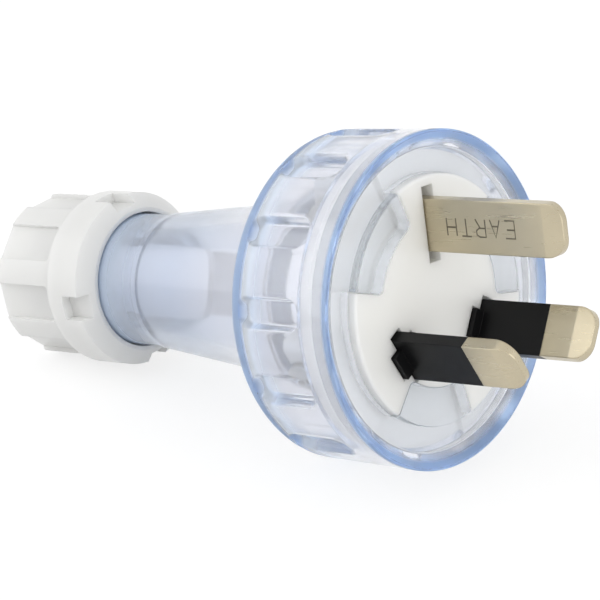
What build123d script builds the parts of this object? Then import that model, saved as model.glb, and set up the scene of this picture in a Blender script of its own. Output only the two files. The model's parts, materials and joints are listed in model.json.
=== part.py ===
from build123d import *
import os
from math import atan2, cos, degrees, radians, sin

# A clear three-pin plug top, in millimetres. The pieces are drawn about the plug's own axis, which is X,
# with the face that meets the socket at X = 0 and the pins towards +X. At the end the whole plug is laid
# on a flat surface, where it rests on the rear corner of its head and on two ribs of its nut.

CUT = 1.0                 # how far a cutting shape runs past what it cuts

# Flat pins, after the standard pin pattern for this kind of plug
BLADE_WIDTH = 6.35
BLADE_THICK = 1.63
EARTH_REACH = 19.94
LIVE_REACH = 17.06
EARTH_RADIUS = 10.31
LIVE_RADIUS = 7.92
PATTERN_DROP = 1.0        # pin pattern's centre below the head's axis, towards the live pins
PIN_ROLL = 15.0           # the earth pin leans this far from straight up, as drawn
TIP_CORNER = 2.2
TIP_BEVEL_LENGTH = 2.6
TIP_THICK = 0.9
BLADE_TAIL = 3.0          # how far a blade enters its terminal
SLEEVE_REACH = 10.3
SLEEVE_WALL = 0.4
COLLAR_WIDTH = 3.4        # the sleeve's thick foot at the face
COLLAR_PROUD = 1.4
COLLAR_REACH = 0.6

# Clear cover: head
HEAD_FRONT_RADIUS = 20.3
HEAD_TAPER = 0.4          # what the head's radius loses from front to rear
HEAD_LENGTH = 16.4
HEAD_WALL = 2.6
HEAD_REAR_WALL = 2.2
HEAD_REAR_ROUND = 2.6
RIM_WALL = 2.0            # of the head, round the mouth that takes the ring
RIM_LAND = 0.35
RIM_ROUND = 0.25
RING_RECESS = 1.1         # the ring's face lies this far behind the rim
FLUTE_COUNT = 13
FLUTE_WIDTH = 2.9         # of a grip flute's floor
FLUTE_DEPTH = 1.5         # below the rim's radius
FLUTE_FRONT = 5.0         # from the face to a flute's front end
FLUTE_REAR = 13.3
FLUTE_CORNER = 1.0
FLUTE_ROUND = 0.35
FLUTE_DRAFT = 15.0

# Clear cover: neck and threaded spigot
NECK_ROOT_RADIUS = 11.55
NECK_ROOT_FILLET = 1.8
NECK_END_RADIUS = 8.7
NECK_END = 43.5
NECK_WALL = 1.9
SPIGOT_RADIUS = 8.36
SPIGOT_END = 58.0
COLLET_BORE_RADIUS = 6.3
COLLET_SEAT_START = 50.0
COLLET_SEAT_RADIUS = 7.4

# White pin base and clear retaining ring
RING_THICK = 2.2
RING_FIT = 0.12           # play of the ring round the base's boss, and in the cover's mouth
RING_BAND = 3.25          # width of the ring's recessed band, from the mouth to the raised disc
CORE_RADIUS = 10.3
LOBE_START = -47.0        # a lobe of the base, in degrees from its own pin's direction
LOBE_SPAN = 67.0
LOBE_CORNER = 0.9
DISC_EDGE = 0.4           # rounding of the raised disc's edge
FLANGE_PLAY = 0.5         # round the base's flange, in the mouth
FLANGE_SEAT = 0.5         # width of the cover's ledge under the flange
FLANGE_THICK = 2.0
FLOOR_THICK = 1.1         # of the base behind the ring's tabs
EARTH_SLOT_LENGTH = 9.2
LIVE_SLOT_LENGTH = 7.3
SLOT_PLAY = 0.18          # on each broad side of a blade
WELL_WALL = 1.2
WELL_PLAY = 0.15
WELL_SHORT = 1.2          # a terminal stands this far out of its well

# Brass terminals and their screws
TERMINAL_WIDTH = 8.0      # along the blade's width
TERMINAL_THICK = 6.2
TERMINAL_PLAY = 0.4       # between a terminal and the rear wall of the head
TERMINAL_EDGE = 0.4
TAIL_PLAY = 0.05
WIRE_HOLE_RADIUS = 1.75
WIRE_HOLE_DEPTH = 5.4
SCREW_RADIUS = 1.4
SCREW_PLAY = 0.1
SCREW_HEAD_RADIUS = 2.6
SCREW_HEAD_HEIGHT = 1.9
SCREW_SLOT = 0.8
SCREW_SLOT_DEPTH = 0.9
SCREW_BITE = 0.5          # how far the screw's end stands into the wire hole

# Cord-grip collet
CORD_RADIUS = 5.05        # clear way for the cord, through the nut and the collet
COLLET_PLAY = 0.35
COLLET_FRONT = 31.5
COLLET_SLIT_START = 45.0  # the tongues run forward from here
COLLET_REAR = 61.2
COLLET_TONGUE_WIDTH = 8.4
COLLET_TONGUE_ROUND = 3.8
COLLET_SLIT = 1.4
COLLET_SLIT_REAR = 58.6

# Cord-grip nut
NUT_FRONT = 49.3
NUT_REAR = 66.5
NUT_COLLAR_RADIUS = 11.1
NUT_GRIP_RADIUS = 10.4
NUT_COLLAR_REAR = 56.0
NUT_CHAMFER_LENGTH = 1.6
NUT_CHAMFER_HEIGHT = 1.9
NUT_BORE_PLAY = 0.3       # round the spigot
NUT_SEAT = 61.5           # the wall inside the nut that pushes the collet
NUT_ENTRY_CHAMFER = 1.2
NUT_REAR_ROUND = 0.8
NUT_POCKETS = 8
NUT_POCKET_WIDTH = 4.8
NUT_POCKET_FLOOR = 9.55
NUT_POCKET_FRONT = 57.0
NUT_POCKET_CORNER = 0.6
NUT_NOTCHES = 4
NUT_NOTCH_WIDTH = 3.2
NUT_NOTCH_FLOOR = 9.75
NUT_NOTCH_REAR = 53.6
NUT_TURN = 22.5           # the nut's turn about the axis, as it was left after tightening

REST_ROLL = -NUT_TURN     # the plug lies rolled so that one pocket of its nut is lowest
REST_STEPS = 4            # rounds of finding how the plug lies

# Sizes and places that follow from the ones above
HEAD_REAR_RADIUS = HEAD_FRONT_RADIUS - HEAD_TAPER
MOUTH_RADIUS = HEAD_FRONT_RADIUS - RIM_WALL
FLUTE_FLOOR = HEAD_FRONT_RADIUS - FLUTE_DEPTH
DISC_RADIUS = MOUTH_RADIUS - RING_BAND
FLANGE_RADIUS = MOUTH_RADIUS - FLANGE_PLAY
RING_BACK = RING_RECESS + RING_THICK
BASE_BACK = RING_BACK + FLANGE_THICK
CAVITY_END = HEAD_LENGTH - HEAD_REAR_WALL
EARTH_ANGLE = 90.0 + PIN_ROLL
PIN_ANGLES = {"earth": EARTH_ANGLE, "active": EARTH_ANGLE + 120.0, "neutral": EARTH_ANGLE - 120.0}
TERMINAL_BACK = CAVITY_END - TERMINAL_PLAY
SCREW_BACK = TERMINAL_BACK - WIRE_HOLE_DEPTH / 2
WELL_BACK = TERMINAL_BACK - WELL_SHORT
NUT_BORE_RADIUS = SPIGOT_RADIUS + NUT_BORE_PLAY


def turned(*points):
    """Solid of revolution about X, from (distance behind the face, radius) points."""
    outline = Polyline(*[(-back, radius) for back, radius in points], close=True)
    return revolve(make_face(outline), Axis.X)


def slab(sketch, back, front):
    """A face-plane sketch thickened from one distance behind the face to a smaller one."""
    return extrude(Plane.YZ.offset(-back) * sketch, back - front)


def sector(radius, start, span):
    """Pie slice about the axis, in the plane of the face."""
    arc = CenterArc((0, 0), radius, start, span)
    return make_face([arc, Line(arc @ 1, (0, 0)), Line((0, 0), arc @ 0)])


def pin_spot(name):
    """Centre of a blade in the plane of the face, and the direction of its width in degrees."""
    angle = PIN_ANGLES[name]
    radius = EARTH_RADIUS if name == "earth" else LIVE_RADIUS
    drop = Vector(cos(radians(EARTH_ANGLE)), sin(radians(EARTH_ANGLE))) * PATTERN_DROP
    centre = Vector(cos(radians(angle)), sin(radians(angle))) * radius - drop
    width_direction = angle if name == "earth" else angle - 90.0
    return centre, width_direction


def at_pin(name, shape):
    """Moves a shape drawn with its width along Y and its thickness along Z to a blade's place."""
    centre, width_direction = pin_spot(name)
    return Pos(0, centre.X, centre.Y) * Rot(X=width_direction) * shape


def lobed(lobe_radius, core_radius):
    """Outline of the pin base: a round core with one lobe for each pin."""
    outline = Circle(core_radius)
    for angle in PIN_ANGLES.values():
        outline += sector(lobe_radius, angle + LOBE_START, LOBE_SPAN)
    return outline


def boss_outline():
    outline = lobed(DISC_RADIUS, CORE_RADIUS)
    inner_corners = outline.vertices().filter_by(lambda v: Vector(v).length < (CORE_RADIUS + DISC_RADIUS) / 2)
    return fillet(inner_corners, LOBE_CORNER)


def disc_edge(body):
    """Outer arcs of the raised disc at the face, on the base or on the ring."""
    return body.edges().filter_by(GeomType.CIRCLE).group_by(Axis.X)[-1].group_by(SortBy.RADIUS)[-1]


def flute():
    """Cutter for one grip flute at the top of the head, with drafted walls and rounded corners."""
    plan = Pos(-(FLUTE_FRONT + FLUTE_REAR) / 2, 0) * Rectangle(FLUTE_REAR - FLUTE_FRONT, FLUTE_WIDTH)
    plan = fillet(plan.vertices(), FLUTE_CORNER)
    cutter = extrude(Plane.XY.offset(FLUTE_FLOOR) * plan, FLUTE_DEPTH + CUT, taper=-FLUTE_DRAFT)
    return fillet(cutter.faces().sort_by(Axis.Z)[0].edges(), FLUTE_ROUND)


def head_and_neck():
    """Outer form of the cover, before it is hollowed."""
    shell = turned(
        (0, 0),
        (0, HEAD_FRONT_RADIUS),
        (HEAD_LENGTH, HEAD_REAR_RADIUS),
        (HEAD_LENGTH, NECK_ROOT_RADIUS),
        (NECK_END, NECK_END_RADIUS),
        (NECK_END, SPIGOT_RADIUS),
        (SPIGOT_END, SPIGOT_RADIUS),
        (SPIGOT_END, 0),
    )
    rings = shell.edges().filter_by(GeomType.CIRCLE)

    def ring_at(back, radius):
        return rings.sort_by(lambda e: abs(e.center().X + back) + abs(e.radius - radius))[0]

    rear_edge = ring_at(HEAD_LENGTH, HEAD_REAR_RADIUS)
    root_edge = ring_at(HEAD_LENGTH, NECK_ROOT_RADIUS)
    front_edge = ring_at(0, HEAD_FRONT_RADIUS)
    shell = fillet(rear_edge, HEAD_REAR_ROUND)
    shell = fillet(shell.edges().sort_by(lambda e: (e.center() - root_edge.center()).length
                                         + abs(e.length - root_edge.length))[0], NECK_ROOT_FILLET)
    return fillet(shell.edges().sort_by(lambda e: (e.center() - front_edge.center()).length
                                        + abs(e.length - front_edge.length))[0], RIM_ROUND)


def cover_body():
    cover = head_and_neck()
    one_flute = flute()
    step = 360.0 / FLUTE_COUNT
    cover -= [Rot(X=180.0 + step * i) * one_flute for i in range(FLUTE_COUNT)]
    neck_slope = (NECK_ROOT_RADIUS - NECK_END_RADIUS) / (NECK_END - HEAD_LENGTH)
    neck_front = NECK_ROOT_RADIUS + neck_slope * HEAD_REAR_WALL - NECK_WALL
    seat_slope = (COLLET_SEAT_RADIUS - COLLET_BORE_RADIUS) / (SPIGOT_END - COLLET_SEAT_START)
    hollow = turned(
        (-CUT, 0),
        (-CUT, HEAD_FRONT_RADIUS - RIM_LAND),
        (0, HEAD_FRONT_RADIUS - RIM_LAND),
        (RING_RECESS, MOUTH_RADIUS),
        (BASE_BACK, MOUTH_RADIUS),
        (BASE_BACK, FLANGE_RADIUS - FLANGE_SEAT),
        (CAVITY_END, HEAD_REAR_RADIUS - HEAD_WALL),
        (CAVITY_END, neck_front),
        (NECK_END, NECK_END_RADIUS - NECK_WALL),
        (NECK_END, COLLET_BORE_RADIUS),
        (COLLET_SEAT_START, COLLET_BORE_RADIUS),
        (SPIGOT_END + CUT, COLLET_SEAT_RADIUS + seat_slope * CUT),
        (SPIGOT_END + CUT, 0),
    )
    return cover - hollow


def retaining_ring():
    """Clear ring round the base, with tabs that fill the gaps between the base's lobes flush with the face."""
    opening = offset(boss_outline(), RING_FIT)
    tabs = slab(Circle(DISC_RADIUS) - opening, RING_BACK, 0)
    tabs = fillet(disc_edge(tabs), DISC_EDGE)
    return tabs + slab(Circle(MOUTH_RADIUS - RING_FIT) - opening, RING_BACK, RING_RECESS)


def pin_base():
    base = slab(boss_outline(), RING_BACK, 0)
    base = fillet(disc_edge(base), DISC_EDGE)
    base += slab(lobed(FLANGE_RADIUS, CORE_RADIUS), BASE_BACK, RING_BACK)
    base += slab(Circle(FLANGE_RADIUS), BASE_BACK, BASE_BACK - FLOOR_THICK)
    well_width = TERMINAL_WIDTH + 2 * WELL_PLAY
    well_thick = TERMINAL_THICK + 2 * WELL_PLAY
    well = RectangleRounded(well_width + 2 * WELL_WALL, well_thick + 2 * WELL_WALL, WELL_WALL)
    well -= Rectangle(well_width, well_thick)
    slot_thick = BLADE_THICK + 2 * SLOT_PLAY
    screw_way = screw_frame() * extrude(Circle(SCREW_HEAD_RADIUS + WELL_PLAY), well_thick)
    for name in PIN_ANGLES:
        base += at_pin(name, slab(well, WELL_BACK, BASE_BACK) - screw_way)
        slot = Rectangle(EARTH_SLOT_LENGTH, slot_thick)
        if name != "earth":
            foot = BLADE_THICK + 2 * (COLLAR_PROUD + SLOT_PLAY)
            slot = Rectangle(LIVE_SLOT_LENGTH, slot_thick) + Rectangle(COLLAR_WIDTH + 2 * SLOT_PLAY, foot)
        base -= at_pin(name, slab(slot, BASE_BACK, -CUT))
    return base


def blade(reach):
    """Blade from its tail in the terminal to its rounded and bevelled tip, width along Y, thickness along Z."""
    tail = BASE_BACK + BLADE_TAIL
    middle = (reach - tail) / 2
    face = Pos(middle, 0) * Rectangle(reach + tail, BLADE_WIDTH)
    face = fillet(face.vertices().group_by(Axis.X)[-1], TIP_CORNER)
    plate = extrude(Plane.XY * face, BLADE_THICK / 2, both=True)
    side = make_face(Polyline(
        (-tail, -BLADE_THICK / 2),
        (reach - TIP_BEVEL_LENGTH, -BLADE_THICK / 2),
        (reach, -TIP_THICK / 2),
        (reach, TIP_THICK / 2),
        (reach - TIP_BEVEL_LENGTH, BLADE_THICK / 2),
        (-tail, BLADE_THICK / 2),
        close=True,
    ))
    return plate & extrude(Plane.XZ * side, BLADE_WIDTH, both=True)


def sleeve_body():
    """Outer form of a sleeve: flush with the bare blade, with a thick foot at the face."""
    body = slab(Rectangle(BLADE_WIDTH, BLADE_THICK), BASE_BACK, -SLEEVE_REACH)
    foot = Rectangle(COLLAR_WIDTH, BLADE_THICK + 2 * COLLAR_PROUD)
    return body + slab(foot, BASE_BACK, -COLLAR_REACH)


def core():
    """What is left of a live blade inside its sleeve."""
    section = Rectangle(BLADE_WIDTH - 2 * SLEEVE_WALL, BLADE_THICK - 2 * SLEEVE_WALL)
    return slab(section, BASE_BACK, -SLEEVE_REACH)


def live_pin():
    cased = slab(Rectangle(2 * BLADE_WIDTH, 2 * BLADE_WIDTH), BASE_BACK, -SLEEVE_REACH)
    return blade(LIVE_REACH) - cased + core()


def sleeve():
    return sleeve_body() - core()


def terminal():
    """Brass block behind the base, with the wire's hole from the rear and the screw's hole from the side."""
    section = RectangleRounded(TERMINAL_WIDTH, TERMINAL_THICK, TERMINAL_EDGE)
    block = slab(section, TERMINAL_BACK, BASE_BACK)
    tail = Rectangle(BLADE_WIDTH + 2 * TAIL_PLAY, BLADE_THICK + 2 * TAIL_PLAY)
    block -= slab(tail, BASE_BACK + BLADE_TAIL, BASE_BACK - CUT)
    block -= slab(Circle(WIRE_HOLE_RADIUS), TERMINAL_BACK + CUT, TERMINAL_BACK - WIRE_HOLE_DEPTH)
    return block - screw_frame() * extrude(Circle(SCREW_RADIUS + SCREW_PLAY), TERMINAL_THICK)


def screw_frame():
    """Plane on the wire hole's axis that looks out along the screw."""
    return Plane((-SCREW_BACK, 0, 0), x_dir=(1, 0, 0), z_dir=(0, 0, 1))


def screw():
    """Slotted screw, seated on the broad side of its terminal."""
    seat = TERMINAL_THICK / 2
    start = WIRE_HOLE_RADIUS - SCREW_BITE
    shank = Pos(0, 0, start) * extrude(Circle(SCREW_RADIUS), seat - start)
    head = Pos(0, 0, seat) * extrude(Circle(SCREW_HEAD_RADIUS), SCREW_HEAD_HEIGHT)
    top = seat + SCREW_HEAD_HEIGHT
    cut = Pos(0, 0, top - SCREW_SLOT_DEPTH) * extrude(
        Rectangle(3 * SCREW_HEAD_RADIUS, SCREW_SLOT), 2 * SCREW_SLOT_DEPTH)
    return screw_frame() * (shank + head - cut)


def cord_grip_collet():
    """Split cone that closes on the cord, with two rounded tongues reaching forward into the neck."""
    outer = COLLET_BORE_RADIUS - COLLET_PLAY
    rear = COLLET_SEAT_RADIUS - COLLET_PLAY
    seat_start = COLLET_SEAT_START + COLLET_PLAY
    body = turned(
        (COLLET_FRONT, CORD_RADIUS),
        (COLLET_FRONT, outer),
        (seat_start, outer),
        (SPIGOT_END, rear),
        (COLLET_REAR, rear),
        (COLLET_REAR, CORD_RADIUS),
    )
    tongue = Pos(-COLLET_SLIT_START, 0) * Rectangle(2 * (COLLET_SLIT_START - COLLET_FRONT), COLLET_TONGUE_WIDTH)
    tongue = fillet(tongue.vertices().group_by(Axis.X)[-1], COLLET_TONGUE_ROUND)
    reach = 2 * outer
    front = slab(Rectangle(2 * reach, 2 * reach), COLLET_SLIT_START, COLLET_FRONT - CUT)
    front -= extrude(Plane.XZ * tongue, reach, both=True)
    slit = Rectangle(4 * outer, COLLET_SLIT)
    slits = slab(slit + Rot(Z=90) * slit, COLLET_SLIT_REAR, COLLET_SLIT_START - CUT)
    return body - front - Rot(X=45) * slits


def cord_grip_nut():
    start = NUT_COLLAR_RADIUS - NUT_CHAMFER_HEIGHT
    body = turned(
        (NUT_FRONT, NUT_BORE_RADIUS),
        (NUT_FRONT, start),
        (NUT_FRONT + NUT_CHAMFER_LENGTH, NUT_COLLAR_RADIUS),
        (NUT_COLLAR_REAR, NUT_COLLAR_RADIUS),
        (NUT_COLLAR_REAR, NUT_GRIP_RADIUS),
        (NUT_REAR, NUT_GRIP_RADIUS),
        (NUT_REAR, CORD_RADIUS + NUT_ENTRY_CHAMFER),
        (NUT_REAR - NUT_ENTRY_CHAMFER, CORD_RADIUS),
        (NUT_SEAT, CORD_RADIUS),
        (NUT_SEAT, NUT_BORE_RADIUS),
    )
    rear_rim = body.edges().filter_by(GeomType.CIRCLE).group_by(Axis.X)[0].sort_by(SortBy.LENGTH)[-1]
    body = fillet(rear_rim, NUT_REAR_ROUND)
    pocket_length = NUT_REAR - NUT_POCKET_FRONT
    plan = Pos(-NUT_REAR, 0) * Rectangle(2 * pocket_length, NUT_POCKET_WIDTH)
    plan = fillet(plan.vertices().group_by(Axis.X)[-1], NUT_POCKET_CORNER)
    pocket = extrude(Plane.XY.offset(NUT_POCKET_FLOOR) * plan, NUT_COLLAR_RADIUS)
    step = 360.0 / NUT_POCKETS
    body -= [Rot(X=NUT_TURN + step * i) * pocket for i in range(NUT_POCKETS)]
    notch_length = NUT_NOTCH_REAR - NUT_FRONT
    plan = Pos(-NUT_FRONT, 0) * Rectangle(2 * notch_length, NUT_NOTCH_WIDTH)
    notch = extrude(Plane.XY.offset(NUT_NOTCH_FLOOR) * plan, NUT_COLLAR_RADIUS)
    step = 360.0 / NUT_NOTCHES
    body -= [Rot(X=NUT_TURN + step * i) * notch for i in range(NUT_NOTCHES)]
    return body


def pieces():
    """Every piece about the plug's own axis, by node name."""
    out = {
        "cover_body": cover_body(),
        "retaining_ring": retaining_ring(),
        "pin_base": pin_base(),
        "earth_pin": at_pin("earth", blade(EARTH_REACH)),
    }
    for name in ("active", "neutral"):
        out[name + "_pin"] = at_pin(name, live_pin())
        out[name + "_sleeve"] = at_pin(name, sleeve())
    for name in PIN_ANGLES:
        out[name + "_terminal"] = at_pin(name, terminal())
    out["terminal_screws"] = Compound([at_pin(name, screw()) for name in PIN_ANGLES])
    out["cord_grip_collet"] = cord_grip_collet()
    out["cord_grip_nut"] = cord_grip_nut()
    return out


def lying(tilt):
    """Turn of the plug at rest, with its front tilted up by some degrees."""
    return Rot(Y=-tilt) * Rot(X=REST_ROLL)


def lowest(shape, tilt):
    """Height of a piece's lowest point at that tilt."""
    return (lying(tilt) * shape).bounding_box().min.Z


def rest_place(parts):
    """Where the plug lies on the surface Z = 0, on its head and its nut, centred on the origin."""
    span = NUT_REAR - HEAD_LENGTH
    tilt = degrees(atan2(HEAD_REAR_RADIUS - NUT_GRIP_RADIUS, span))
    for _ in range(REST_STEPS):
        drop = lowest(parts["cord_grip_nut"], tilt) - lowest(parts["cover_body"], tilt)
        tilt += degrees(drop / span)
    boxes = [(lying(tilt) * shape).bounding_box() for shape in parts.values()]
    low = [min(tuple(box.min)[i] for box in boxes) for i in range(3)]
    high = [max(tuple(box.max)[i] for box in boxes) for i in range(3)]
    return Pos(-(low[0] + high[0]) / 2, -(low[1] + high[1]) / 2, -low[2]) * lying(tilt)


os.makedirs("parts", exist_ok=True)
plug = pieces()
place = rest_place(plug)
for node, shape in plug.items():
    export_step(place * shape, f"parts/{node}.step")
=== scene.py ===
import json
from math import acos, cos, degrees, hypot, pi, radians, sin, tan

import bmesh
import bpy
from mathutils import Matrix, Vector


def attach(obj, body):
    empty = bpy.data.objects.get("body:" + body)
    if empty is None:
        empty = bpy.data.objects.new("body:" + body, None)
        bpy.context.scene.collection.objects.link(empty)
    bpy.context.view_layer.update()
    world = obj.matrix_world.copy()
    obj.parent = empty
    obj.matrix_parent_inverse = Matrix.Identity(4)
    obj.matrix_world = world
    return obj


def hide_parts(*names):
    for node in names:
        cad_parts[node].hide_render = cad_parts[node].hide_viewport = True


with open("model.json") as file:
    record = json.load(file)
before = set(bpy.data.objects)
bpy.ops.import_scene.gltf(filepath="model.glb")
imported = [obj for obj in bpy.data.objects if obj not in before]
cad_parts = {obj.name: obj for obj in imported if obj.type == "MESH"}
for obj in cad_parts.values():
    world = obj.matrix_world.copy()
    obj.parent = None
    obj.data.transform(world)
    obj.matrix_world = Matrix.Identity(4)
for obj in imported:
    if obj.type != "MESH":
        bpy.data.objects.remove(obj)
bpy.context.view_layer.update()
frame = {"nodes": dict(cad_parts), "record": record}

# Lengths are in metres and angles in degrees, unless a heading says otherwise.
# Places are given along the plug's own axes, from the middle of the face that meets the socket:
# X the way the pins point, Y across, Z up, as in the photograph. At rest the plug lies rolled about X.
MM = 0.001
REST_ROLL = -22.5

# Camera, as fitted to the pins and rims in the photograph
IMAGE_PIXELS = 600
FOCAL_PIXELS = 3200
SENSOR_MM = 36
CAMERA_AZIMUTH = -42.50
CAMERA_ELEVATION = 1.52
CAMERA_ROLL = 2.96
CAMERA_AIM = Vector((-22.40, -0.04, -1.23)) * MM
CAMERA_DISTANCE = 392.97 * MM
CAMERA_NEAR = 0.01        # nothing nearer to the camera than this is drawn

# Floor, world and lamps; a lamp has a place and watts
FLOOR_SIZE = 6.0
FLOOR_COLOUR = (0.80, 0.80, 0.80, 1)      # for the light that it throws back
FLOOR_SEEN = (0.32, 0.32, 0.32, 1)        # where it is looked at, with a glow added
FLOOR_GLOW = 0.74
WORLD_LIGHT = 0.76
LAMP_SIZE = 0.8
LAMPS = {
    "key": ((-0.25, -0.45, 0.75), 1.2),
    "fill": ((0.85, -0.08, 0.24), 2.6),
    "back": ((-0.65, -0.4, 0.16), 1.2),
}
LIGHT_BOUNCES = 32        # enough for many walls of clear plastic

# Clear plastic
PLASTIC_IOR = 1.5
POLYCARBONATE = (0.30, 0.53, 0.825)       # what a long way through leaves of white light
RING_TINT = (0.43, 0.56, 0.58)
MILK = (0.96, 0.965, 1.0, 1)              # its milky share
# Painted blue at the rims, in place of light bent through their rounded edges
RIM_PAINTED_BLUE = (0.36, 0.58, 1.0, 1)
# Painted pale blue haze over the head's rear, in place of light bent through its rounded corner
HEAD_REAR_PAINTED_BLUE = (0.86, 0.92, 1.0, 1)
# Painted shade: the neck turns bluer and darker towards the nut, where the nut's shaded inside shows through
NECK_PAINTED_SHADE = (0.82, 0.87, 0.96, 1)
# Painted light: a milky blue that lifts the shade where the neck goes into the nut
COLLAR_PAINTED_LIGHT = (0.70, 0.82, 1.0, 1)
RIPPLE_SCALE = 260
RIPPLE_DETAIL = 2
RIPPLE_HEIGHT = 0.4 * MM
RIPPLE_STRENGTH = 0.03

# Zones of the cover that are painted bluer or cloudier: painted blue at the rims and the head's rear, where
# light bends through rounded edges, painted shade in the neck towards the nut, and painted light where the
# neck goes into the nut; with the distances in millimetres behind the face and from the axis between which
# each comes in
ZONES = [
    {"behind": (0.9, 0.4), "radius": (17.8, 18.3), "tint": RIM_PAINTED_BLUE, "roughness": 0.38, "clarity": 0.87},
    {"behind": (10.6, 12.6), "radius": (17.0, 17.8), "tint": HEAD_REAR_PAINTED_BLUE, "roughness": 0.25, "clarity": 0.55},
    {"behind": (13.3, 13.9), "radius": (17.6, 18.2), "tint": RIM_PAINTED_BLUE, "roughness": 0.38, "clarity": 0.87},
    {"behind": (27, 36), "radius": (1, 2), "tint": NECK_PAINTED_SHADE, "roughness": 0.165, "clarity": 0.87},
    {"behind": (43.6, 49.2), "radius": (7.9, 8.1), "tint": COLLAR_PAINTED_LIGHT, "roughness": 0.3, "clarity": 0.35},
]

# Moulded plastic and drawn metal: faint clouds in the colour, fine grain or lines, and worn edges
CLOUD_DETAIL = 3
PLASTIC_CLOUDS = {"scale": 180, "low": 0.99, "high": 1.01}
METAL_CLOUDS = {"scale": 220, "low": 0.90, "high": 1.08}
GRAIN_SCALE = 1700
GRAIN_DETAIL = 4
GRAIN_HEIGHT = 0.03 * MM
PLASTIC_EDGE = 0.12 * MM
PLASTIC_EDGE_SAMPLES = 4
GLOW_SHARE = 0.6          # of the light that enters the plastic and comes out again
LINE_SCALE = 3000
LINE_DETAIL = 2
LINE_HEIGHT = 0.02 * MM
LINE_STRENGTH = 0.016
LINE_SMOOTHER = 0.04      # how far the lines change the roughness, down and up
LINE_ROUGHER = 0.05
METAL_EDGE = 0.25 * MM
METAL_EDGE_SAMPLES = 6

# Fineness of the drawn meshes; distances in millimetres
ARC_STEP = 9.0
EDGE_STEP = 30.0
SHARP_ANGLE = 50.0
RING_STEP = 1.0
THREAD_STEPS = 96         # in one turn
FLUTE_ROWS = 48
FLUTE_SIDES = [0.19 * i for i in range(12)] + [2.6, 3.4, 4.2]     # from a flute's middle line
SAME_POINT = 1e-5
SAME_EDGE = 1e-6

# The clear cover and ring, in millimetres, drawn as in the part's source but finer, because facets show in
# clear plastic. A corner of a section is (distance behind the face, radius, rounding).
EDGE = 0.08               # rounding of a moulded edge
GAP = 0.03                # between clear plastic and what it lies against
HEAD_FRONT = 20.3
HEAD_REAR = 19.9
HEAD_LENGTH = 16.4
FLUTE_COUNT = 13
FLUTE_START = 270.0       # the first flute, round the axis
FLUTE_FLOOR = 18.8
FLUTE_FRONT = 5.0
FLUTE_REAR = 13.3
FLUTE_WIDTH = 2.9
FLUTE_CORNER = 1.0
FLUTE_WALL = 0.55         # how far a flute's rounded wall reaches outwards
FLUTE_FIRST_ROW = FLUTE_FRONT - 2 * FLUTE_WALL
FLUTE_LAST_ROW = FLUTE_REAR + FLUTE_WALL
COVER_OUTSIDE_FRONT = [(0, 19.95, EDGE), (0, HEAD_FRONT, 0.25)]
COVER_OUTSIDE_REAR = [
    (HEAD_LENGTH, HEAD_REAR, 2.6),
    (HEAD_LENGTH, 11.55, 1.8),
    (43.5, 8.7, EDGE),
    (43.5, 8.36, EDGE),
    (58.0, 8.36, EDGE),
]
COVER_INSIDE = [
    (58.0, 7.4, EDGE),
    (50.0, 6.3, EDGE),
    (43.5, 6.3, EDGE),
    (43.5, 6.8, EDGE),
    (14.2, 9.88, EDGE),
    (14.2, 17.3, 0.5),
    (5.3 + GAP, 17.3, EDGE),
    (5.3 + GAP, 18.3, EDGE),
    (1.1, 18.3, EDGE),
]
RING_OUTER = 18.18
RING_FRONT = 1.1
RING_BACK = 3.3 - GAP
RING_INNER = 15.17
RING_RIM = [(RING_BACK, RING_OUTER, EDGE), (RING_FRONT, RING_OUTER, EDGE)]
PIN_ANGLES = (105.0, 225.0, 345.0)
PIN_SPACING = 120.0
TAB_OUTER = 15.05
TAB_INNER = 10.42
TAB_ROUND = 0.4           # of a tab's outer edge on the face
TAB_CORNER = 0.8          # of a tab's two inner corners, seen from the front
TAB_START = 20.5          # a tab's two sides, round the axis from the pin before it
TAB_END = 72.5
TAB_WIDTH = TAB_END - TAB_START
TAB_EDGE_SHARES = (0, 0.004, 0.012, 0.03, 0.05, 0.08)     # closer steps near a tab's sides
TAB_MIDDLE_SHARES = (0.1, 0.9)

# Screw thread of the spigot, in millimetres: distances behind the face, root and crest radius, pitch
SPIGOT_THREAD = {"start": 51.0, "end": 57.6, "root": 8.33, "crest": 8.62, "pitch": 2.5}
THREAD_HALF_WIDTH = 0.4   # share of the pitch
THREAD_FADE = 0.25        # turns in which it rises and falls at its ends

# Stamped word on the earth pin, in millimetres
EARTH_LEAN = 15.0         # of the blade, from straight up
EARTH_RADIUS = 9.31       # from the plug's axis to the middle of the blade
BLADE_THICK = 1.63
WORD_STARTS = 13.2        # its first letter, from the face
WORD_DROP = 0.05          # below the middle of the blade
LETTER_HEIGHT = 2.1
LETTER_WIDTH = 1.4
LETTER_PITCH = 2.17
STROKE_RADIUS = 0.10
STROKE_FLATNESS = 0.25
STROKE_FINENESS = 2
LOOP_OF_R = [(0, 0), (0, 1), (0.65, 1), (0.95, 0.88), (0.95, 0.64), (0.65, 0.5), (0, 0.5)]
STROKES = {
    "E": [[(1, 1), (0, 1), (0, 0), (1, 0)], [(0, 0.52), (0.8, 0.52)]],
    "A": [[(0, 0), (0.5, 1), (1, 0)], [(0.2, 0.36), (0.8, 0.36)]],
    "R": [LOOP_OF_R, [(0.55, 0.5), (1, 0)]],
    "T": [[(0, 1), (1, 1)], [(0.5, 1), (0.5, 0)]],
    "H": [[(0, 0), (0, 1)], [(1, 0), (1, 1)], [(0, 0.52), (1, 0.52)]],
}

# The plug's own axes, from the mount on its face
mount = {m["name"]: m for m in frame["record"]["mounts"]}
forward = Vector(mount["socket_face"]["axis"])
across = Vector((0, 1, 0))
upward = forward.cross(across)
PLUG = Matrix.Translation(mount["socket_face"]["pos_m"])
PLUG = PLUG @ Matrix((forward, across, upward)).transposed().to_4x4()
PLUG = PLUG @ Matrix.Rotation(radians(REST_ROLL), 4, "X")


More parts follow.
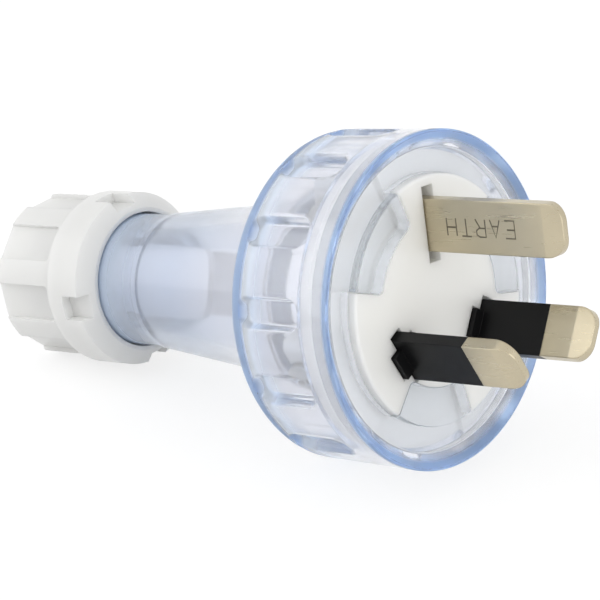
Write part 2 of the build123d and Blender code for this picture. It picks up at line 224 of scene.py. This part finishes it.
class Nodes:
    """Short way to build a node tree; a node given as an input stands for its first output."""

    def __init__(self, tree):
        self.tree = tree
        tree.nodes.clear()

    def add(self, kind, settings=None, **inputs):
        """Adds a node. Inputs go by name, with _ for a space, or by number, as _0."""
        node = self.tree.nodes.new(kind)
        for name, value in (settings or {}).items():
            setattr(node, name, value)
        for name, value in inputs.items():
            self.set(node, name.replace("_", " ").strip(), value)
        return node

    def set(self, node, name, value):
        socket = node.inputs[int(name) if name.isdigit() else name]
        if isinstance(value, bpy.types.Node):
            value = value.outputs[0]
        if isinstance(value, bpy.types.NodeSocket):
            self.tree.links.new(value, socket)
        else:
            socket.default_value = value

    def coordinates(self):
        return self.add("ShaderNodeTexCoord").outputs["Object"]


def new_material(name):
    """A material with an empty node tree, and its output."""
    material = bpy.data.materials.new(name)
    material.use_nodes = True
    nodes = Nodes(material.node_tree)
    out = nodes.add("ShaderNodeOutputMaterial")
    return material, nodes, out


def zone_shares(nodes, coordinates, zones):
    """How much of each zone there is at a point, by its distances behind the face and from the axis."""
    if not zones:
        return []
    place = nodes.add("ShaderNodeVectorMath", {"operation": "SUBTRACT"}, _0=coordinates, _1=PLUG.translation)
    along = nodes.add("ShaderNodeVectorMath", {"operation": "DOT_PRODUCT"}, _0=place, _1=-forward)
    aside = nodes.add("ShaderNodeVectorMath", {"operation": "CROSS_PRODUCT"}, _0=place, _1=forward)
    radius = nodes.add("ShaderNodeVectorMath", {"operation": "LENGTH"}, _0=aside)
    shares = []
    for zone in zones:
        share = 1.0
        for measure, (low, high) in ((along, zone["behind"]), (radius, zone["radius"])):
            distance = measure.outputs["Value"]
            part = nodes.add("ShaderNodeMapRange", Value=distance, From_Min=low * MM, From_Max=high * MM)
            share = nodes.add("ShaderNodeMath", {"operation": "MULTIPLY"}, _0=share, _1=part)
        shares.append(share)
    return shares


def clear_plastic(name, roughness, clarity, tint, density, zones=()):
    """Polycarbonate, a little milky, that turns blue along long paths; lamps shine through it. Zones add
    painted blue, painted shade and painted light by place.
    """
    material, nodes, out = new_material(name)
    coordinates = nodes.coordinates()
    ripple = nodes.add("ShaderNodeTexNoise", Vector=coordinates, Scale=RIPPLE_SCALE, Detail=RIPPLE_DETAIL)
    bump = nodes.add("ShaderNodeBump", Strength=RIPPLE_STRENGTH, Distance=RIPPLE_HEIGHT, Height=ripple)
    glass = nodes.add("ShaderNodeBsdfPrincipled", IOR=PLASTIC_IOR, Normal=bump)
    colour = MILK
    for zone, share in zip(zones, zone_shares(nodes, coordinates, zones)):
        tinted = nodes.add("ShaderNodeMix", {"data_type": "RGBA"}, _0=share, _6=colour, _7=zone["tint"])
        colour = tinted.outputs[2]
        roughness = nodes.add("ShaderNodeMix", _0=share, _2=roughness, _3=zone["roughness"])
        clarity = nodes.add("ShaderNodeMix", _0=share, _2=clarity, _3=zone["clarity"])
    nodes.set(glass, "Base Color", colour)
    nodes.set(glass, "Roughness", roughness)
    nodes.set(glass, "Transmission Weight", clarity)
    through = nodes.add("ShaderNodeBsdfTransparent", Color=(1, 1, 1, 1))
    shadow_ray = nodes.add("ShaderNodeLightPath").outputs["Is Shadow Ray"]
    surface = nodes.add("ShaderNodeMixShader", _0=shadow_ray, _1=glass, _2=through)
    body = nodes.add("ShaderNodeVolumeAbsorption", Color=(*tint, 1), Density=density)
    nodes.set(out, "Surface", surface)
    nodes.set(out, "Volume", body)
    return material


def clouded(nodes, coordinates, colour, scale, low, high):
    """Colour with faint clouds, between two shares of its brightness."""
    cloud = nodes.add("ShaderNodeTexNoise", Vector=coordinates, Scale=scale, Detail=CLOUD_DETAIL)
    shade = nodes.add("ShaderNodeMapRange", Value=cloud, To_Min=low, To_Max=high)
    multiply = {"data_type": "RGBA", "blend_type": "MULTIPLY"}
    return nodes.add("ShaderNodeMix", multiply, _0=1.0, _6=(*colour, 1), _7=shade).outputs[2]


def moulded_plastic(name, colour, roughness, grain, ior=PLASTIC_IOR, depth=0.0):
    """Moulded plastic with a faint grain and soft edges; light enters it to some depth."""
    material, nodes, out = new_material(name)
    coordinates = nodes.coordinates()
    tone = clouded(nodes, coordinates, colour, **PLASTIC_CLOUDS)
    fine = nodes.add("ShaderNodeTexNoise", Vector=coordinates, Scale=GRAIN_SCALE, Detail=GRAIN_DETAIL)
    edge = nodes.add("ShaderNodeBevel", {"samples": PLASTIC_EDGE_SAMPLES}, Radius=PLASTIC_EDGE)
    bump = nodes.add("ShaderNodeBump", Strength=grain, Distance=GRAIN_HEIGHT, Height=fine, Normal=edge)
    body = nodes.add("ShaderNodeBsdfPrincipled", Base_Color=tone, Roughness=roughness, IOR=ior, Normal=bump)
    if depth:
        nodes.set(body, "Subsurface Weight", GLOW_SHARE)
        nodes.set(body, "Subsurface Radius", (1, 1, 1))
        nodes.set(body, "Subsurface Scale", depth)
    nodes.set(out, "Surface", body)
    return material


def drawn_metal(name, colour, roughness, stretch=1):
    """Strip metal with fine lines along the plug's axis, so many times as long as they are wide."""
    material, nodes, out = new_material(name)
    coordinates = nodes.coordinates()
    tone = clouded(nodes, coordinates, colour, **METAL_CLOUDS)
    drawn = nodes.add("ShaderNodeMapping", {"vector_type": "TEXTURE"}, Vector=coordinates,
                      Rotation=PLUG.to_euler(), Scale=(stretch, 1, 1))
    lines = nodes.add("ShaderNodeTexNoise", Vector=drawn, Scale=LINE_SCALE, Detail=LINE_DETAIL)
    gloss = nodes.add("ShaderNodeMapRange", Value=lines, To_Min=roughness - LINE_SMOOTHER,
                      To_Max=roughness + LINE_ROUGHER)
    edge = nodes.add("ShaderNodeBevel", {"samples": METAL_EDGE_SAMPLES}, Radius=METAL_EDGE)
    bump = nodes.add("ShaderNodeBump", Strength=LINE_STRENGTH, Distance=LINE_HEIGHT, Height=lines,
                     Normal=edge)
    body = nodes.add("ShaderNodeBsdfPrincipled", Base_Color=tone, Metallic=1.0, Roughness=gloss, Normal=bump)
    nodes.set(out, "Surface", body)
    return material


def dress(node, material):
    """Gives a CAD node its finish."""
    for slot in frame["nodes"][node].material_slots:
        slot.material = material


def new_piece(name, mesh, material):
    """A mesh drawn along the plug's own axes, in millimetres, that moves with the plug's body."""
    mesh.transform(PLUG @ Matrix.Scale(MM, 4))
    mesh.materials.append(material)
    piece = bpy.data.objects.new(name, mesh)
    bpy.context.collection.objects.link(piece)
    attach(piece, "plug_body")
    return piece


def clean(mesh):
    """Merges points that coincide and turns all faces outwards."""
    work = bmesh.new()
    work.from_mesh(mesh)
    bmesh.ops.remove_doubles(work, verts=work.verts, dist=SAME_POINT)
    bmesh.ops.dissolve_degenerate(work, edges=work.edges, dist=SAME_EDGE)
    bmesh.ops.recalc_face_normals(work, faces=work.faces)
    work.to_mesh(mesh)
    work.free()


def skin(name, rings, closed=True):
    """Mesh through closed rings of points; where it is closed, the last ring joins the first."""
    count = len(rings[0])
    points = [point for ring in rings for point in ring]
    faces = []
    for i in range(len(rings) if closed else len(rings) - 1):
        a = i * count
        b = (i + 1) % len(rings) * count
        for j in range(count):
            k = (j + 1) % count
            faces.append((a + j, a + k, b + k, b + j))
    mesh = bpy.data.meshes.new(name)
    mesh.from_pydata(points, [], faces)
    clean(mesh)
    return mesh


def smooth_skin(name, rings):
    """Closed skin that is shaded as a smooth surface up to its sharp edges."""
    mesh = skin(name, rings)
    mesh.shade_smooth()
    mesh.set_sharp_from_angle(angle=radians(SHARP_ANGLE))
    return mesh


def steps(first, last, count):
    """Evenly spaced values from first to last."""
    return [first + (last - first) * i / count for i in range(count + 1)]


def turned(section, angle):
    """A section's points, turned about the plug's axis to an angle in radians."""
    return [(-back, radius * cos(angle), radius * sin(angle)) for back, radius in section]


def rounded(corners):
    """Section through (back, radius, rounding) corners, with arcs in place of the rounded ones."""
    out = []
    for i, (x, y, size) in enumerate(corners):
        here = Vector((x, y))
        if not size:
            out.append(here)
            continue
        before = (Vector(corners[i - 1][:2]) - here).normalized()
        after = (Vector(corners[(i + 1) % len(corners)][:2]) - here).normalized()
        half = acos(max(-1.0, min(1.0, before.dot(after)))) / 2
        reach = size / tan(half)
        middle = here + (before + after).normalized() * size / sin(half)
        start = here + before * reach - middle
        sweep = start.angle_signed(here + after * reach - middle)
        count = max(2, round(abs(degrees(sweep)) / (EDGE_STEP if size == EDGE else ARC_STEP)))
        out.append(here + before * (reach + EDGE))
        out += [middle + Matrix.Rotation(-sweep * k / count, 2) @ start for k in range(count + 1)]
        out.append(here + after * (reach + EDGE))
    return out


def flute_share(back, sideways):
    """Depth of a flute at a spot of the head, from 0 outside it to 1 on its floor."""
    along = abs(back - (FLUTE_FRONT + FLUTE_REAR) / 2) - (FLUTE_REAR - FLUTE_FRONT) / 2 + FLUTE_CORNER
    over = abs(sideways) - FLUTE_WIDTH / 2 + FLUTE_CORNER
    outside = hypot(max(along, 0), max(over, 0)) + min(max(along, over), 0) - FLUTE_CORNER
    rise = max(0.0, min(1.0, outside / FLUTE_WALL))
    return 1 - rise * rise * (3 - 2 * rise)


def fluted(section, side):
    """The cover's section at some distance sideways of a flute's middle line."""
    floor = FLUTE_FLOOR / cos(side / HEAD_FRONT)
    out = []
    for back, radius in section:
        if radius > FLUTE_FLOOR and FLUTE_FIRST_ROW <= back <= FLUTE_LAST_ROW:
            radius += (floor - radius) * flute_share(back, side)
        out.append((back, radius))
    return out


def add_cover():
    """Clear cover: a turned section with grip flutes sunk into its head."""
    rows = steps(FLUTE_FIRST_ROW, FLUTE_LAST_ROW, FLUTE_ROWS)
    head = [(back, HEAD_FRONT + (HEAD_REAR - HEAD_FRONT) * back / HEAD_LENGTH, 0) for back in rows]
    section = rounded(COVER_OUTSIDE_FRONT + head + COVER_OUTSIDE_REAR + COVER_INSIDE)
    half_pitch = pi * HEAD_FRONT / FLUTE_COUNT
    sides = sorted({s for side in FLUTE_SIDES for s in (side, -side)}) + [half_pitch]
    sections = [fluted(section, side) for side in sides]
    rings = []
    for i in range(FLUTE_COUNT):
        flute = radians(FLUTE_START + 360 * i / FLUTE_COUNT)
        for side, cut in zip(sides, sections):
            rings.append(turned(cut, flute + side / HEAD_FRONT))
    cover = new_piece("cover", smooth_skin("cover", rings), COVER)
    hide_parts("cover_body")


def tab_turns():
    """Steps across a tab from its first side, closer together near both sides."""
    near = [TAB_WIDTH * share for share in TAB_EDGE_SHARES]
    first, last = (TAB_WIDTH * share for share in TAB_MIDDLE_SHARES)
    middle = steps(first, last, round(TAB_WIDTH / RING_STEP))
    return near + middle + [TAB_WIDTH - turn for turn in reversed(near)]


def tab_section(turn):
    """Section of the ring through a tab, at a turn from the tab's first side."""
    inside = radians(min(turn, TAB_WIDTH - turn)) * TAB_INNER
    near = max(0.0, TAB_CORNER - inside)
    inner = TAB_INNER + TAB_CORNER - (TAB_CORNER ** 2 - near ** 2) ** 0.5
    tab = [(RING_FRONT, TAB_OUTER, 0), (0, TAB_OUTER, TAB_ROUND), (0, inner, 0), (RING_BACK, inner, 0)]
    return rounded(RING_RIM + tab)


def add_ring():
    """Clear ring with three tabs, flush with the face, that fill the gaps between the base's lobes."""
    tab_sections = [(TAB_START + turn, tab_section(turn)) for turn in tab_turns()]
    plain = rounded(RING_RIM + [(RING_FRONT, RING_INNER, 0), (RING_BACK, RING_INNER, 0)])
    spare = len(tab_sections[0][1]) - len(plain)
    plain[-2:-2] = [plain[-2]] * spare
    between = steps(TAB_END - PIN_SPACING, TAB_START, round((PIN_SPACING - TAB_WIDTH) / RING_STEP))
    sections = [(turn, plain) for turn in between] + tab_sections
    rings = [turned(section, radians(pin + turn)) for pin in PIN_ANGLES for turn, section in sections]
    ring = new_piece("ring", smooth_skin("ring", rings), CLEAR)
    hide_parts("retaining_ring")


def add_thread(name, start, end, root, crest, pitch, material, slot):
    """Helical ridge of triangular section about the plug's axis, fading out at both ends."""
    count = round((end - start) / pitch * THREAD_STEPS)
    fading = THREAD_STEPS * THREAD_FADE
    rings = []
    for i, back in enumerate(steps(start, end, count)):
        fade = min(1.0, i / fading, (count - i) / fading)
        half = THREAD_HALF_WIDTH * pitch * fade
        ridge = [(back + half, root), (back, root + (crest - root) * fade), (back - half, root)]
        rings.append(turned(ridge, 2 * pi * i / THREAD_STEPS))
    new_piece(name, skin(name, rings, closed=False), material)


def add_word(name, word, material):
    """Word in single strokes on the earth pin, read from the pin's tip towards the face."""
    curve = bpy.data.curves.new(name, "CURVE")
    curve.dimensions = "3D"
    curve.bevel_depth = STROKE_RADIUS
    curve.bevel_resolution = STROKE_FINENESS
    curve.use_fill_caps = True
    for i, letter in enumerate(word):
        for stroke in STROKES[letter]:
            spline = curve.splines.new("POLY")
            spline.points.add(len(stroke) - 1)
            for point, (x, y) in zip(spline.points, stroke):
                point.co = (i * LETTER_PITCH + x * LETTER_WIDTH, y * LETTER_HEIGHT, 0, 1)
    strokes = bpy.data.objects.new(name, curve)
    mesh = bpy.data.meshes.new_from_object(strokes)
    bpy.data.objects.remove(strokes)
    lean = radians(90 + EARTH_LEAN)
    outward = Vector((0, cos(lean), sin(lean)))
    normal = Vector((0, -sin(lean), cos(lean)))
    reading = Vector((-1, 0, 0))
    turn = Matrix((reading, -outward, normal * STROKE_FLATNESS)).transposed().to_4x4()
    top = EARTH_RADIUS - WORD_DROP + LETTER_HEIGHT / 2
    place = outward * top + normal * BLADE_THICK / 2 - reading * WORD_STARTS
    mesh.transform(Matrix.Translation(place) @ turn)
    new_piece(name, mesh, material)


def add_camera():
    azimuth = radians(CAMERA_AZIMUTH)
    level = radians(CAMERA_ELEVATION)
    look = Vector((sin(azimuth) * cos(level), cos(azimuth) * cos(level), -sin(level)))
    camera = bpy.data.objects.new("camera", bpy.data.cameras.new("camera"))
    camera.data.sensor_width = SENSOR_MM
    camera.data.lens = FOCAL_PIXELS / IMAGE_PIXELS * SENSOR_MM
    camera.data.clip_start = CAMERA_NEAR
    turn = look.to_track_quat("-Z", "Y").to_matrix().to_4x4() @ Matrix.Rotation(radians(CAMERA_ROLL), 4, "Z")
    camera.matrix_world = PLUG @ Matrix.Translation(CAMERA_AIM - look * CAMERA_DISTANCE) @ turn
    bpy.context.collection.objects.link(camera)
    bpy.context.scene.camera = camera


def seen_directly(nodes):
    """1 for rays from the camera, or seen in a mirror or through glass; 0 for light that falls on things."""
    path = nodes.add("ShaderNodeLightPath")
    total = path.outputs["Is Camera Ray"]
    for name in ("Is Glossy Ray", "Is Transmission Ray"):
        total = nodes.add("ShaderNodeMath", {"operation": "MAXIMUM"}, _0=total, _1=path.outputs[name])
    return total


def add_floor():
    bpy.ops.mesh.primitive_plane_add(size=FLOOR_SIZE)
    floor = bpy.context.object
    floor.name = "floor"
    material, nodes, out = new_material("floor")
    card = nodes.add("ShaderNodeBsdfDiffuse", Color=FLOOR_COLOUR)
    shade = nodes.add("ShaderNodeBsdfDiffuse", Color=FLOOR_SEEN)
    glow = nodes.add("ShaderNodeEmission", Strength=FLOOR_GLOW)
    seen = nodes.add("ShaderNodeAddShader", _0=shade, _1=glow)
    surface = nodes.add("ShaderNodeMixShader", _0=seen_directly(nodes), _1=card, _2=seen)
    nodes.set(out, "Surface", surface)
    floor.data.materials.append(material)


def add_world():
    world = bpy.data.worlds.new("studio")
    bpy.context.scene.world = world
    world.use_nodes = True
    nodes = Nodes(world.node_tree)
    out = nodes.add("ShaderNodeOutputWorld")
    level = nodes.add("ShaderNodeMapRange", Value=seen_directly(nodes), To_Min=WORLD_LIGHT, To_Max=1.0)
    sky = nodes.add("ShaderNodeBackground", Color=(1, 1, 1, 1), Strength=level)
    nodes.set(out, "Surface", sky)


def add_lamp(name, place, watts):
    """Soft round lamp that points at the object."""
    lamp = bpy.data.lights.new(name, "AREA")
    lamp.shape = "DISK"
    lamp.size = LAMP_SIZE
    lamp.energy = watts
    box = bpy.data.objects.new(name, lamp)
    box.location = place
    box.rotation_euler = (-Vector(place)).to_track_quat("-Z", "Y").to_euler()
    bpy.context.collection.objects.link(box)


# Finishes; a depth is in metres, and a density is per metre
COVER = clear_plastic("cover_plastic", roughness=0.10, clarity=0.87, tint=POLYCARBONATE, density=9,
                      zones=ZONES)
CLEAR = clear_plastic("clear_plastic", roughness=0.18, clarity=0.88, tint=RING_TINT, density=40)
FROSTED = clear_plastic("frosted_plastic", roughness=0.25, clarity=0.3, tint=POLYCARBONATE, density=10)
WHITE = moulded_plastic("white_plastic", (0.80, 0.80, 0.785), roughness=0.28, grain=0.10, depth=0.003)
# Painted light: the base's white is a brighter copy of the nut's, to lift the shade inside the clear cover
BRIGHTENED_BASE = moulded_plastic("base_plastic_brightened", (0.86, 0.86, 0.835), roughness=0.28, grain=0.10, depth=0.003)
BLACK = moulded_plastic("black_sleeve", (0.006, 0.006, 0.0065), roughness=0.34, grain=0.15, ior=1.25)
PLATED = drawn_metal("plated_brass", (0.55, 0.485, 0.35), roughness=0.28, stretch=20)
BRASS = drawn_metal("terminal_brass", (0.55, 0.47, 0.33), roughness=0.35)
STEEL = drawn_metal("screw_steel", (0.55, 0.55, 0.53), roughness=0.3)
# Painted shade: dark brass for the stamped word, in place of the shade inside the stamped grooves
STAMP_SHADE = drawn_metal("stamped_brass_painted_shade", (0.20, 0.175, 0.13), roughness=0.5)

FINISH = {
    "pin_base": BRIGHTENED_BASE,
    "earth_pin": PLATED,
    "active_pin": PLATED,
    "neutral_pin": PLATED,
    "active_sleeve": BLACK,
    "neutral_sleeve": BLACK,
    "earth_terminal": BRASS,
    "active_terminal": BRASS,
    "neutral_terminal": BRASS,
    "terminal_screws": STEEL,
    "cord_grip_collet": FROSTED,
    "cord_grip_nut": WHITE,
}
for node_name, finish in FINISH.items():
    dress(node_name, finish)

add_cover()
add_ring()
add_thread("spigot_thread", material=COVER, slot="clear_plastic", **SPIGOT_THREAD)
add_word("earth_word", "EARTH", STAMP_SHADE)

add_camera()
add_floor()
add_world()
for lamp_name, (lamp_place, lamp_watts) in LAMPS.items():
    add_lamp(lamp_name, lamp_place, lamp_watts)
bpy.context.scene.view_settings.view_transform = "Standard"
cycles = bpy.context.scene.cycles
cycles.max_bounces = LIGHT_BOUNCES
cycles.transmission_bounces = LIGHT_BOUNCES
cycles.transparent_max_bounces = LIGHT_BOUNCES
cycles.glossy_bounces = LIGHT_BOUNCES
